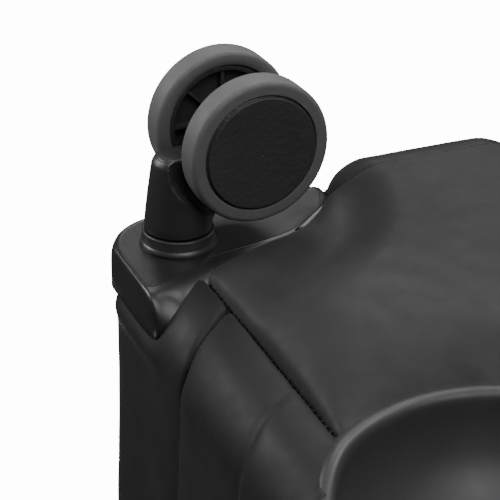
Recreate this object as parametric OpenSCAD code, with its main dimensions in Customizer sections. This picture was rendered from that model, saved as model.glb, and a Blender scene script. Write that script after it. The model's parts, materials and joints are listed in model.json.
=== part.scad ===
// Bag-type tennis ball machine in a soft-sided case on four twin-wheel casters.
// Origin: on the floor under the middle of the case. +Z up, front (launch side) towards -Y.

/* [Case] */
// Width over the corner guards
case_w = 470; // [450:5:520]
// Depth over the corner guards
case_d = 290; // [286:2:320]
// Height of the lid's top above the floor
case_top = 700; // [690:5:740]
// Thickness of the padded fabric walls
wall = 5; // [4:0.5:6]
// Radius of the case's rounded edges
edge_r = 26; // [24:1:28]
// How far the padded bottom bulges below the fabric
bulge = 11; // [8:1:12]

/* [Casters] */
// Wheel radius
wheel_r = 30; // [28:0.5:31]
// Height of the guard's plateau above the floor
plateau_z = 74.2; // [73:0.1:78]
// Distance of the axle behind the swivel stem
trail = 26.1; // [24:0.1:28]
// Angle of the trailing casters off straight ahead
swivel_rest = 3.2; // [0:0.1:10]
// Radius of the swivel stem
stem_r = 5; // [4:0.5:6]
// Radius of the wheel axle
axle_r = 3; // [2.5:0.5:4]

/* [Launcher] */
// Height of the launch tube's axis
launch_z = 340; // [330:1:350]
// Radius of a ball with room around it
ball_r = 36.5; // [35:0.5:38]
// Radius of the two throw wheels
throw_r = 53; // [50:1:54]
// Pinch gap between the throw wheels
throw_gap = 60; // [58:1:62]

/* [Grab cup] */
// Outer radius of the moulded grab cup's rim
cup_r = 67; // [60:1:70]
// Width of the cup's rim
cup_rim = 6; // [4:1:8]
// Depth of the cup
cup_depth = 40; // [30:1:42]

/* [Hidden] */
$fn = 64;

run = 0.05;                         // radial running clearance
guard_t = 3;                        // moulded guard thickness
guard_z = plateau_z - 0.2;          // underside of the guards' trays
socket_hole = 10;                   // hole through the shell round each stem's socket
fab_x = case_w / 2 - guard_t;       // outer face of the fabric, half width
fab_y = case_d / 2 - guard_t;       // outer face of the fabric, half depth
fab_z = guard_z + guard_t;          // lowest flat level of the fabric shell
stem_in = 28;                       // stem axis inside the guard's faces
stem_x = case_w / 2 - stem_in;
stem_y = case_d / 2 - stem_in;
rim_z = case_top - 24;              // top edge of the case walls
axis_x = fab_x - edge_r;            // axes of the fabric's round corners
axis_y = fab_y - edge_r;
arc_z = fab_z + edge_r;             // where the round foot meets the upright
arc_n = 6;                          // flats on a quarter of the round foot
pad_x = axis_x - 14;                // half size of the bottom's padded bulge
pad_y = axis_y - 14;
skirt_z = plateau_z + 15;           // top edge of the guard's skirt

collar_h = 7;
collar_r = 15.4;
fork_gap = 0.6;
fork_r = 13.9;
fork_top_r = 9.6;
fork_top = 41;
web = 13;                           // width of the fork's web between the wheels
wheel_clear = 3;                    // gap between the tyre and the fork's cut-out
axle_h = plateau_z - wheel_r;       // axle's distance below the plateau
tyre_in = 10.8;                     // tyre's inner and outer faces from the mid plane
tyre_out = 23;
hub_r = 24;
cap_out = 23.8;

frame_z = 88;
frame_t = 6;
frame_top = frame_z + frame_t;
throw_y = -36;
throw_dz = throw_gap / 2 + throw_r;
shaft_r = 4;
side_in = 72;                       // inner face of the launcher's side plates
side_t = 4;
tube_wall = 3.5;
nose_y = -84;
floor_z = 545;
floor_t = 4;
feed_r = 103;                       // feeder disc radius
pocket_at = 62;                     // pocket circle radius
cup_y = -stem_y + 38;
panel_z = 450;                      // middle of the control panel
panel_hw = 50;
panel_hh = 55;
tube_x = 80;
tube_y = case_d / 2 - 23;
tube_r = 8;
hinge_y = 99;
grip_z = case_top + 4;
grip_r = 11;

module box(lo, hi) { translate(lo) cube(hi - lo); }

// Box with every edge rounded to radius r, half sizes hx and hy
module rounded_box(hx, hy, z0, z1, r) {
    hull() for (sx = [-1, 1], sy = [-1, 1], z = [z0 + r, z1 - r])
        translate([sx * (hx - r), sy * (hy - r), z]) sphere(r = r, $fn = 32);
}

module fabric_outer(extra = 0) {
    rounded_box(fab_x + extra, fab_y + extra, fab_z - extra, case_top + extra, edge_r + extra);
}

module at_corners() {
    for (sx = [-1, 1], sy = [-1, 1]) translate([sx * stem_x, sy * stem_y, 0])
        mirror([sx > 0 ? 0 : 1, 0, 0]) mirror([0, sy > 0 ? 0 : 1, 0]) children();
}

module along_x(x0, x1, r) { translate([x0, 0, 0]) rotate([0, 90, 0]) cylinder(r = r, h = x1 - x0); }
module along_y(y0, y1, r) { translate([0, y0, 0]) rotate([-90, 0, 0]) cylinder(r = r, h = y1 - y0); }

// Half section of a wall in (distance out from the corner's axis, height): an upright with a round foot
module wall_section(r_in, r_out, top) {
    polygon(concat([[r_out, top]],
        [for (i = [0:arc_n]) [r_out * cos(i * 90 / arc_n), arc_z - r_out * sin(i * 90 / arc_n)]],
        [for (i = [arc_n:-1:0]) [r_in * cos(i * 90 / arc_n), arc_z - r_in * sin(i * 90 / arc_n)]],
        [[r_in, top]]));
}

// Straight wall facing -Y, from -half to half along X
module straight_wall(half, axis_y, r_in, r_out, top) {
    translate([-half, -axis_y, 0]) rotate([90, 0, 90]) linear_extrude(2 * half)
        mirror([1, 0]) wall_section(r_in, r_out, top);
}

// Quarter of a round corner towards +X and -Y about its own axis
module corner_wall(r_in, r_out, top) {
    intersection() {
        rotate_extrude() wall_section(r_in, r_out, top);
        box([0, -edge_r * 2, 0], [edge_r * 2, 0, case_top]);
    }
}

module fabric_cuts() {
    at_corners() translate([0, 0, 60]) cylinder(r = 10, h = 40);
    translate([0, cup_y, 60]) cylinder(r = cup_r + 0.3, h = 42);
}

module end_panel(cup) {
    difference() {
        union() {
            straight_wall(axis_x, axis_y, edge_r - wall, edge_r, rim_z);
            for (s = [0, 1]) mirror([s, 0, 0]) translate([axis_x, -axis_y, 0])
                corner_wall(edge_r - wall, edge_r, rim_z);
        }
        fabric_cuts();
        if (cup) translate([0, 0, launch_z]) along_y(-case_d, -100, 41);
    }
}

module side_wall() {
    difference() {
        rotate([0, 0, 90]) straight_wall(axis_y, axis_x, edge_r - wall, edge_r, rim_z);
        fabric_cuts();
    }
}

module front_panel() color("#18181a") end_panel(true);
module back_panel() color("#18181a") mirror([0, 1, 0]) difference() {
    straight_back();
    at_corners() translate([0, 0, 60]) cylinder(r = 10, h = 40);
}

module straight_back() {
    straight_wall(axis_x, axis_y, edge_r - wall, edge_r, rim_z);
    for (s = [0, 1]) mirror([s, 0, 0]) translate([axis_x, -axis_y, 0])
        corner_wall(edge_r - wall, edge_r, rim_z);
}

module left_panel() color("#1c1c1e") mirror([1, 0, 0]) side_wall();
module right_panel() color("#1c1c1e") difference() {
    side_wall();
    box([150, -panel_hw - 0.3, panel_z - panel_hh - 0.3], [case_w, panel_hw + 0.3, panel_z + panel_hh + 0.3]);
}

// Bottom skin with its padded bulge
module bottom_panel() color("#202022") difference() {
    union() {
        box([-axis_x, -axis_y, fab_z], [axis_x, axis_y, fab_z + wall]);
        hull() {
            box([-pad_x, -pad_y, fab_z], [pad_x, pad_y, fab_z + 1]);
            box([-pad_x + 14, -pad_y + 14, fab_z - bulge], [pad_x - 14, pad_y - 14, fab_z]);
        }
    }
    fabric_cuts();
}

// Plan of one guard about its stem, for the corner towards +X and +Y
module guard_plan() {
    polygon([[30, 30], [-46, 30], [-27, 3], [-18, -5], [-14, -17], [-6, -35],
             [-4, -46], [0, -55], [6, -74], [14, -83], [30, -86]]);
}

// Skin of one guard over the fabric's round foot, about the axis of the corner towards +X and -Y
module guard_skin() {
    corner_wall(edge_r, edge_r + guard_t, skirt_z);
    translate([-60, 0, 0]) straight_wall(60, 0, edge_r, edge_r + guard_t, skirt_z);
    translate([0, 60, 0]) rotate([0, 0, 90]) straight_wall(60, 0, edge_r, edge_r + guard_t, skirt_z);
    box([-70, 0, guard_z], [0, 100, fab_z]);
}

// Moulded plastic guard on each lower corner, with the tray the wheels swing under
module corner_guards() color("#151516") difference() {
    for (sx = [0, 1], sy = [0, 1]) mirror([sx, 0, 0]) mirror([0, sy, 0]) intersection() {
        translate([axis_x, -axis_y, 0]) guard_skin();
        translate([stem_x, -stem_y, 0]) mirror([0, 1, 0]) linear_extrude(skirt_z) guard_plan();
    }
    at_corners() translate([0, 0, 60]) cylinder(r = stem_r + 0.6, h = 40);
    at_corners() translate([0, 0, fab_z - 0.2]) cylinder(r = socket_hole, h = 20);
}

module caster_collars() color("#121213") at_corners() translate([0, 0, guard_z - collar_h]) difference() {
    cylinder(r1 = collar_r - 0.5, r2 = collar_r, h = collar_h);
    translate([0, 0, -1]) cylinder(r = stem_r + run, h = collar_h + 2);
}

// Moulded bowl that fingers reach into to lift the case, with a rim that follows the rounded edge
module grab_cup() color("#0f0f10") intersection() {
    fabric_outer(2);
    translate([0, cup_y, plateau_z]) difference() {
        union() {
            translate([0, 0, -4]) cylinder(r = cup_r, h = 31.5);
            rotate_extrude() cup_profile(cup_r - cup_rim + 3, cup_depth + 3);
        }
        translate([0, 0, -0.01]) rotate_extrude() cup_profile(cup_r - cup_rim, cup_depth);
        translate([0, 0, -10]) cylinder(r = cup_r - cup_rim, h = 10.01);
    }
}

// Half section of the bowl: a straight wall, then a quarter ellipse to the middle
module cup_profile(r, depth) {
    wall_h = 12;
    polygon(concat([[0, 0], [r, 0]],
        [for (i = [0:16]) [r * cos(i * 90 / 16), wall_h + (depth - wall_h) * sin(i * 90 / 16)]]));
}

// Aluminium plate that carries the casters and the launcher
module base_frame() color("#8d9094") difference() {
    union() {
        translate([0, 0, frame_z]) linear_extrude(frame_t) difference() {
            union() {
                square([2 * stem_x - 2, 2 * stem_y + 22], center = true);
                square([2 * stem_x + 22, 2 * stem_y - 2], center = true);
                for (sx = [-1, 1], sy = [-1, 1])
                    translate([sx * (stem_x - 1), sy * (stem_y - 1)]) circle(r = 12);
            }
            translate([0, cup_y]) circle(r = cup_r + 2);
        }
        at_corners() translate([0, 0, fab_z]) cylinder(r = 9.6, h = frame_z - fab_z);
    }
    at_corners() translate([0, 0, 60]) cylinder(r = stem_r + run, h = 50);
}

module battery() color("#2b3138") translate([0, 0, frame_top]) difference() {
    box([-75, 20, 0], [75, 100, 76]);
    for (x = [-50:20:50]) box([x - 2, 19, 60], [x + 2, 22, 77]);
}

// Two side plates and the nose plate that the launch tube sits in
module launcher_frame() color("#9a9da1") difference() {
    union() {
        for (s = [-1, 1]) {
            box([min(s * side_in, s * (side_in + side_t)), -80, frame_top],
                [max(s * side_in, s * (side_in + side_t)), 20, floor_z]);
            box([min(s * side_in, s * 92), -60, frame_top], [max(s * side_in, s * 92), 10, frame_top + 4]);
        }
        box([-side_in - side_t, nose_y, launch_z - 52], [side_in + side_t, -80, launch_z + 52]);
    }
    translate([0, 0, launch_z]) along_y(-100, -70, ball_r + tube_wall);
    for (s = [-1, 1]) translate([0, throw_y, launch_z + s * throw_dz]) along_x(-90, 90, shaft_r + run);
}

module launch_tube() color("#222224") translate([0, 0, launch_z]) difference() {
    along_y(-fab_y, -80, ball_r + tube_wall);
    along_y(-case_d, -70, ball_r);
}

module port_ring() color("#101011") translate([0, 0, launch_z]) difference() {
    along_y(-case_d / 2, -fab_y, 54);
    along_y(-case_d, -100, ball_r);
}

// Square drop that turns the ball forward to the throw wheels
module feed_chute() color("#2a2a2c") difference() {
    box([-41, pocket_at - 41, launch_z - 40], [41, pocket_at + 41, floor_z]);
    box([-38, pocket_at - 38, launch_z - 37], [38, pocket_at + 38, floor_z + 1]);
    box([-38, pocket_at - 45, launch_z - 37], [38, pocket_at - 30, launch_z + 39]);
}

module throw_motors() color("#3a3b3d") for (s = [-1, 1])
    translate([0, throw_y, launch_z + s * throw_dz]) difference() {
        union() {
            along_x(side_in + side_t, side_in + side_t + 46, 24);
            along_x(side_in + side_t + 46, side_in + side_t + 58, 15);
        }
        along_x(side_in, side_in + side_t + 28, shaft_r + run);
    }

// Soft-tread throw wheel with a shallow groove for the ball
module throw_wheel() rotate([0, 90, 0]) rotate_extrude() polygon([
    [shaft_r, -14], [12, -14], [12, -8], [34, -8], [34, -20], [throw_r, -20], [throw_r - 2, 0],
    [throw_r, 20], [34, 20], [34, 8], [12, 8], [12, 14], [shaft_r, 14]]);
module throw_shaft() along_x(-side_in - side_t - 6, side_in + side_t + 26, shaft_r);

module throw_wheel_upper() color("#4b4c4f") translate([0, throw_y, launch_z + throw_dz]) throw_wheel();
module throw_wheel_lower() color("#4b4c4f") translate([0, throw_y, launch_z - throw_dz]) throw_wheel();
module throw_shaft_upper() color("#b5b7ba") translate([0, throw_y, launch_z + throw_dz]) throw_shaft();
module throw_shaft_lower() color("#b5b7ba") translate([0, throw_y, launch_z - throw_dz]) throw_shaft();

// Ball hopper: a round bowl around the feeder disc that flares to the case's mouth
module hopper() color("#26272a") difference() {
    union() {
        translate([0, 0, floor_z]) cylinder(r = feed_r + 4, h = 42);
        hopper_flare(3, 0);
    }
    translate([0, 0, floor_z - 1]) cylinder(r = feed_r + 1, h = 50);
    hopper_flare(0, 1);
}

module hopper_flare(grow, over) hull() {
    translate([0, 0, floor_z + 38]) cylinder(r = feed_r + 1 + grow, h = 1, $fn = 32);
    box([-fab_x + wall + 11 - grow, -fab_y + wall + 11 - grow, rim_z - 4],
        [fab_x - wall - 11 + grow, hinge_y + 2 + grow, rim_z - 1 + over]);
}

module hopper_floor() color("#303236") difference() {
    translate([0, 0, floor_z]) cylinder(r = feed_r + 1, h = floor_t);
    translate([0, pocket_at, floor_z - 1]) cylinder(r = ball_r + 1.5, h = 10);
    translate([0, 0, floor_z - 1]) cylinder(r = shaft_r + 2, h = 10);
}

module feeder_motor() color("#3a3b3d") difference() {
    translate([0, 0, floor_z - 46]) cylinder(r = 18, h = 46);
    translate([0, 0, floor_z - 34]) cylinder(r = shaft_r + run, h = 40);
}

// Carousel that carries balls one by one to the drop hole
module feeder_disc() color("#c9c14a") difference() {
    union() {
        translate([0, 0, floor_z + floor_t + 1]) cylinder(r = feed_r, h = 34);
        translate([0, 0, floor_z + floor_t + 35]) cylinder(r1 = 26, r2 = 6, h = 16);
        translate([0, 0, floor_z - 30]) cylinder(r = shaft_r, h = 40);
    }
    for (a = [45:90:315]) rotate([0, 0, a]) translate([pocket_at, 0, floor_z])
        cylinder(r = ball_r, h = 60);
}

// Hard rails on the back wall and stud feet on the left wall, for laying the case down
module back_glides() color("#121213") {
    for (s = [-1, 1]) translate([s * 120, 0, 0]) {
        box([-7, fab_y, 140], [7, case_d / 2, 560]);
        for (z = [140, 560]) translate([0, 0, z]) along_y(fab_y, case_d / 2, 7);
    }
    for (y = [-80, 80], z = [160, 600]) translate([0, y, z]) along_x(-case_w / 2, -fab_x, 11);
}

// Recessed control box in the right wall
module control_panel() color("#1d1d1f") difference() {
    union() {
        box([206, -panel_hw, panel_z - panel_hh], [fab_x, panel_hw, panel_z + panel_hh]);
        box([fab_x, -panel_hw - 6, panel_z - panel_hh - 6],
            [case_w / 2, panel_hw + 6, panel_z + panel_hh + 6]);
    }
    box([210, -panel_hw + 5, panel_z - panel_hh + 5], [case_w, panel_hw - 5, panel_z + panel_hh - 5]);
    for (y = [-22, 22]) translate([0, y, panel_z + 22]) along_x(200, 215, 3 + run);
    box([200, -29.5, panel_z - 36.5], [215, -14.5, panel_z - 11.5]);
    translate([0, 22, panel_z - 24]) along_x(207, 215, 7);
}

module knob() {
    difference() {
        union() {
            along_x(210.5, 224, 13);
            along_x(206.5, 211, 3);
        }
        for (a = [0:30:330]) rotate([a, 0, 0]) translate([0, 14.4, 0]) along_x(213, 226, 2.4);
    }
    along_x(223, 226, 9);
}

module speed_knob() color("#8a8c90") translate([0, -22, panel_z + 22]) knob();
module feed_knob() color("#8a8c90") translate([0, 22, panel_z + 22]) knob();

module power_switch() color("#b3231f") translate([210, -22, panel_z - 24])
    rotate([90, 0, 0]) translate([0, 0, -7]) linear_extrude(14)
        polygon([[-3, -11.8], [0.5, -11.8], [3, -10.5], [1.6, 0], [3, 10.5], [0.5, 11.8], [-3, 11.8]]);

module lid() color("#1a1a1c") intersection() {
    fabric_outer();
    box([-case_w, -case_d, rim_z + 2], [case_w, hinge_y - 1, case_top + 1]);
}

// Webbing carry strap on the lid
module lid_strap() color("#111112") translate([0, -8, case_top]) rotate([90, 0, 0])
    translate([0, 0, -15]) linear_extrude(30) difference() {
        polygon([[-78, 0], [-60, 14], [-40, 20], [40, 20], [60, 14], [78, 0]]);
        polygon([[-58, -1], [-58, 7], [-40, 15], [40, 15], [58, 7], [58, -1]]);
    }

module handle_tray() color("#161617") difference() {
    translate([0, 0, rim_z + 0.4]) linear_extrude(case_top - rim_z - 0.4) union() {
        translate([-axis_x, hinge_y + 1]) square([2 * axis_x, fab_y - hinge_y - 1]);
        translate([-fab_x, hinge_y + 1]) square([2 * fab_x, axis_y - hinge_y - 1]);
        for (s = [-1, 1]) translate([s * axis_x, axis_y]) circle(r = edge_r - 0.01);
    }
    box([-case_w, 0, 0], [case_w, hinge_y + 1, case_top + 5]);
    for (s = [-1, 1]) translate([s * tube_x, tube_y, rim_z - 5]) cylinder(r = tube_r + 2, h = 60);
}

module handle_sleeves() color("#7d8084") for (s = [-1, 1]) translate([s * tube_x, tube_y, 0]) difference() {
    translate([0, 0, frame_top]) cylinder(r = tube_r + 2, h = case_top - frame_top);
    translate([0, 0, frame_top + 3]) cylinder(r = tube_r + run, h = case_top);
}

module handle_tube() translate([0, tube_y, 300]) cylinder(r = tube_r, h = grip_z + 8 - 300);
module handle_tube_left() color("#9b9ea2") translate([-tube_x, 0, 0]) handle_tube();
module handle_tube_right() color("#9b9ea2") translate([tube_x, 0, 0]) handle_tube();

module handle_grip() color("#141415") difference() {
    translate([0, tube_y, grip_z + grip_r]) union() {
        along_x(-tube_x - 12, tube_x + 12, grip_r);
        for (s = [-1, 1]) translate([s * (tube_x + 12), 0, 0]) sphere(r = grip_r);
    }
    for (s = [-1, 1]) translate([s * tube_x, tube_y, grip_z - 5]) cylinder(r = tube_r, h = 13);
    box([-20.4, tube_y - 5.4, grip_z + 13], [20.4, tube_y + 5.4, grip_z + 40]);
}

module handle_button() color("#3c3d40") translate([0, tube_y, 0])
    box([-20, -5, grip_z + 16.5], [20, 5, grip_z + 25]);

// A caster is drawn with its mid plane at x = 0, its stem on z and the floor far along +z
module caster(sx, sy) {
    translate([sx * stem_x, sy * stem_y, plateau_z]) mirror([sx > 0 ? 0 : 1, 0, 0])
        mirror([0, sy > 0 ? 1 : 0, 0]) rotate([0, 0, -swivel_rest]) mirror([0, 0, 1]) children();
}

module fork() color("#151516") difference() {
    union() {
        translate([0, 0, fab_z - frame_top - guard_t]) cylinder(r = stem_r, h = frame_top - fab_z + 12);
        translate([0, 0, collar_h + fork_gap]) cylinder(r1 = fork_r, r2 = fork_top_r, h = fork_top - collar_h);
        translate([-web / 2, 0, 0]) rotate([90, 0, 90]) linear_extrude(web)
            polygon([[-8, 20], [10, 14], [33, 38], [33, 47], [26, 53], [8, 51], [-7, 46], [-9, 42]]);
    }
    for (s = [0, 1]) mirror([s, 0, 0]) translate([0, trail, axle_h])
        along_x(web / 2, 40, wheel_r + wheel_clear);
    translate([0, trail, axle_h]) along_x(-20, 20, axle_r);
}

module axle() color("#b5b7ba") translate([0, trail, axle_h]) along_x(-20.5, 20.5, axle_r);

// Rubber tyre with rounded shoulders; side is 1 for the outer wheel and -1 for the inner
module tyre(side) color("#3b3b3c") translate([0, trail, axle_h]) mirror([side > 0 ? 0 : 1, 0, 0])
    rotate([0, 90, 0]) rotate_extrude() polygon(concat([[hub_r, tyre_in], [wheel_r - 3, tyre_in]],
        [for (i = [1:6]) [wheel_r - 3 + 3 * sin(i * 15), tyre_in + 3 - 3 * cos(i * 15)]],
        [for (i = [0:5]) [wheel_r - 3 + 3 * cos(i * 15), tyre_out - 3 + 3 * sin(i * 15)]],
        [[wheel_r - 3, tyre_out], [hub_r, tyre_out]]));

module hub(side) color("#131314") translate([0, trail, axle_h]) mirror([side > 0 ? 0 : 1, 0, 0]) difference() {
    union() {
        along_x(16.3, cap_out, hub_r - 0.02);
        along_x(7.2, 17, 7);
        difference() {
            along_x(12.4, 17, hub_r - 0.02);
            along_x(12, 17, hub_r - 3);
        }
        for (a = [0:60:300]) rotate([a, 0, 0]) box([12.4, -1, 5], [17, 1, hub_r - 2]);
    }
    along_x(0, 21, axle_r + run);
}

front_panel();
back_panel();
left_panel();
right_panel();
bottom_panel();
corner_guards();
caster_collars();
grab_cup();
base_frame();
battery();
launcher_frame();
launch_tube();
port_ring();
feed_chute();
throw_motors();
throw_wheel_upper();
throw_wheel_lower();
throw_shaft_upper();
throw_shaft_lower();
hopper();
hopper_floor();
feeder_motor();
feeder_disc();
back_glides();
control_panel();
speed_knob();
feed_knob();
power_switch();
lid();
lid_strap();
handle_tray();
handle_sleeves();
handle_tube_left();
handle_tube_right();
handle_grip();
handle_button();
caster(1, -1) fork();  // caster_fr_fork
caster(1, -1) axle();  // caster_fr_axle
caster(1, -1) tyre(1);  // caster_fr_tyre_out
caster(1, -1) hub(1);  // caster_fr_hub_out
caster(1, -1) tyre(-1);  // caster_fr_tyre_in
caster(1, -1) hub(-1);  // caster_fr_hub_in
caster(-1, -1) fork();  // caster_fl_fork
caster(-1, -1) axle();  // caster_fl_axle
caster(-1, -1) tyre(1);  // caster_fl_tyre_out
caster(-1, -1) hub(1);  // caster_fl_hub_out
caster(-1, -1) tyre(-1);  // caster_fl_tyre_in
caster(-1, -1) hub(-1);  // caster_fl_hub_in
caster(1, 1) fork();  // caster_rr_fork
caster(1, 1) axle();  // caster_rr_axle
caster(1, 1) tyre(1);  // caster_rr_tyre_out
caster(1, 1) hub(1);  // caster_rr_hub_out
caster(1, 1) tyre(-1);  // caster_rr_tyre_in
caster(1, 1) hub(-1);  // caster_rr_hub_in
caster(-1, 1) fork();  // caster_rl_fork
caster(-1, 1) axle();  // caster_rl_axle
caster(-1, 1) tyre(1);  // caster_rl_tyre_out
caster(-1, 1) hub(1);  // caster_rl_hub_out
caster(-1, 1) tyre(-1);  // caster_rl_tyre_in
caster(-1, 1) hub(-1);  // caster_rl_hub_in
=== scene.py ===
"""Looks for the bag-type tennis ball machine. Metres, in the frame of the CAD model."""
import json
import math

import bmesh
import bpy
import numpy as np
from mathutils import Matrix, Vector, noise


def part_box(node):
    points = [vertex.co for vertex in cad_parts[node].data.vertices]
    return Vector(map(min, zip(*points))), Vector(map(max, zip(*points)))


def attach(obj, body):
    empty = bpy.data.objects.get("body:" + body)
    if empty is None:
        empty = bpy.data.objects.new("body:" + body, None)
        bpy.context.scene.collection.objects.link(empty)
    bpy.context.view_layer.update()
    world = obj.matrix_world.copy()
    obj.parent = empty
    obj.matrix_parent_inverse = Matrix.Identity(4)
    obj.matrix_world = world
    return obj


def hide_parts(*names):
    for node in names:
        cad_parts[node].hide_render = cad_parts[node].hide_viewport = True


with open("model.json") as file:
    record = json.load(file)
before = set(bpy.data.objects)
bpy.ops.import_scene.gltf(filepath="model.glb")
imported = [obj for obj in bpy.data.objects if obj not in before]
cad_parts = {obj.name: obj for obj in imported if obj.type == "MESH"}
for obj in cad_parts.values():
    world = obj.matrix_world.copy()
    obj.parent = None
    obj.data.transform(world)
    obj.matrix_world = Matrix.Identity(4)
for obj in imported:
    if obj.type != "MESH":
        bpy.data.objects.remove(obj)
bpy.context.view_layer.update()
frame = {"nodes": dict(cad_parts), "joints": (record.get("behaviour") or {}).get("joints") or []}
MM = 0.001
JOINTS = {j["name"]: j for j in frame["joints"]}

# ---------------------------------------------------------------- sizes read from the frame
STEM = Vector(JOINTS["caster_fr_swivel"]["pos_m"])
STEM_X, STEM_Y, PLATEAU = STEM.x, -STEM.y, STEM.z
AXLE = JOINTS["caster_fr_spin_out"]
SWIVEL = math.atan2(-AXLE["axis"][1], AXLE["axis"][0])
AXLE_H = PLATEAU - AXLE["pos_m"][2]
TRAIL = (Vector(AXLE["pos_m"]).xy - STEM.xy).length
WHEEL_R = AXLE["pos_m"][2]
FRONT_LO, FRONT_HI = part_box("front_panel")
FAB_X, FAB_Y, FAB_Z, RIM_Z = FRONT_HI.x, -FRONT_LO.y, FRONT_LO.z, FRONT_HI.z
EDGE_R = 26 * MM                       # round edges of the fabric
AXIS_X, AXIS_Y, ARC_Z = FAB_X - EDGE_R, FAB_Y - EDGE_R, FAB_Z + EDGE_R
CUP_LO, CUP_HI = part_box("grab_cup")
CUP_R = (CUP_HI.x - CUP_LO.x) / 2
CUP_Y = CUP_HI.y - CUP_R
PORT_LO, PORT_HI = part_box("port_ring")
PORT_Z, PORT_R = (PORT_LO.z + PORT_HI.z) / 2, (PORT_HI.z - PORT_LO.z) / 2
PANEL_LO, PANEL_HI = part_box("control_panel")
CORNERS = {"fr": (1, -1), "fl": (-1, -1), "rr": (1, 1), "rl": (-1, 1)}
PUFF = 14.5 * MM                       # how far the padded bottom swells within the wheels' reach
PUFF_MORE = 8 * MM                     # further swelling outside it
REACH = 66 * MM                        # wheels' reach round a stem, with some room
CLOTH = 3 * MM                         # thickness of the padded cloth
CUP_LAP = 4.5 * MM                     # how far the cloth runs in under the cup's rim
CUP_DEPTH = 40 * MM
PUCKER = 6.1 * MM                      # spacing of the small puckers along the bottom seams


# ---------------------------------------------------------------- camera
def make_camera():
    """From below and to the front right of the lower front right corner, upside down."""
    data = bpy.data.cameras.new("camera")
    data.lens, data.sensor_width = 129.6, 36
    cam = bpy.data.objects.new("camera", data)
    roll = math.radians(0.5)
    right, up = Vector((-0.3955, 0.9184, 0)), Vector((0.4354, 0.1875, -0.8805))
    back = Vector((-0.8087, -0.3483, -0.4741))
    r = math.cos(roll) * right + math.sin(roll) * up
    u = math.cos(roll) * up - math.sin(roll) * right
    turn = Matrix((r, u, back)).transposed().to_4x4()
    cam.matrix_world = Matrix.Translation(STEM + Vector((-0.6073, -0.2298, -0.3457))) @ turn
    bpy.context.scene.collection.objects.link(cam)
    bpy.context.scene.camera = cam


make_camera()


# ---------------------------------------------------------------- materials
class Nodes:
    """Small helper around one material's node tree."""

    def __init__(self, name):
        self.mat = bpy.data.materials.new(name)
        self.mat.use_nodes = True
        self.tree = self.mat.node_tree
        self.tree.nodes.clear()
        self.out = self.tree.nodes.new("ShaderNodeOutputMaterial")
        self.bsdf = self.tree.nodes.new("ShaderNodeBsdfPrincipled")
        self.link(self.bsdf.outputs[0], self.out.inputs[0])
        self.coord = self.tree.nodes.new("ShaderNodeTexCoord").outputs["Object"]
        tilt = self.tree.nodes.new("ShaderNodeMapping")
        tilt.inputs["Rotation"].default_value = (0.41, 0.73, 0.27)
        self.link(self.coord, tilt.inputs[0])
        self.tilted = tilt.outputs[0]

    def link(self, a, b):
        self.tree.links.new(a, b)

    def noise(self, scale, detail=3.0, rough=0.5, stretch=None):
        node = self.tree.nodes.new("ShaderNodeTexNoise")
        node.inputs["Scale"].default_value = scale
        node.inputs["Detail"].default_value = detail
        node.inputs["Roughness"].default_value = rough
        source = self.tilted
        if stretch:
            mapping = self.tree.nodes.new("ShaderNodeMapping")
            mapping.inputs["Scale"].default_value = stretch
            self.link(self.coord, mapping.inputs[0])
            source = mapping.outputs[0]
        self.link(source, node.inputs["Vector"])
        return node.outputs["Fac"]

    def voronoi(self, scale):
        node = self.tree.nodes.new("ShaderNodeTexVoronoi")
        node.inputs["Scale"].default_value = scale
        self.link(self.tilted, node.inputs["Vector"])
        return node.outputs["Distance"]

    def waves(self, scale, direction):
        node = self.tree.nodes.new("ShaderNodeTexWave")
        node.bands_direction = direction
        node.inputs["Scale"].default_value = scale
        node.inputs["Distortion"].default_value = 0.4
        self.link(self.coord, node.inputs["Vector"])
        return node.outputs["Fac"]

    def spread(self, fac, low, high):
        node = self.tree.nodes.new("ShaderNodeMapRange")
        node.inputs["From Min"].default_value = 0.3
        node.inputs["From Max"].default_value = 0.7
        node.inputs["To Min"].default_value = low
        node.inputs["To Max"].default_value = high
        self.link(fac, node.inputs[0])
        return node.outputs[0]

    def mix(self, fac, dark, light):
        node = self.tree.nodes.new("ShaderNodeMix")
        node.data_type = "RGBA"
        node.inputs["A"].default_value = (*dark, 1)
        node.inputs["B"].default_value = (*light, 1)
        self.link(fac, node.inputs["Factor"])
        return node.outputs["Result"]

    def add(self, a, b, weight=1.0):
        node = self.tree.nodes.new("ShaderNodeMath")
        node.operation = "MULTIPLY_ADD"
        self.link(b, node.inputs[0])
        node.inputs[1].default_value = weight
        self.link(a, node.inputs[2])
        return node.outputs[0]

    def bump(self, height, strength, distance):
        node = self.tree.nodes.new("ShaderNodeBump")
        node.inputs["Strength"].default_value = strength
        node.inputs["Distance"].default_value = distance
        self.link(height, node.inputs["Height"])
        self.link(node.outputs[0], self.bsdf.inputs["Normal"])

    def edge_wear(self, colour, tint, amount):
        """Slightly paler, duller convex edges."""
        geo = self.tree.nodes.new("ShaderNodeNewGeometry")
        ramp = self.tree.nodes.new("ShaderNodeMapRange")
        ramp.inputs["From Min"].default_value = 0.52
        ramp.inputs["From Max"].default_value = 0.62
        ramp.inputs["To Max"].default_value = amount
        self.link(geo.outputs["Pointiness"], ramp.inputs[0])
        node = self.tree.nodes.new("ShaderNodeMix")
        node.data_type = "RGBA"
        self.link(ramp.outputs[0], node.inputs["Factor"])
        self.link(colour, node.inputs["A"])
        node.inputs["B"].default_value = (*tint, 1)
        return node.outputs["Result"]


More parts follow.
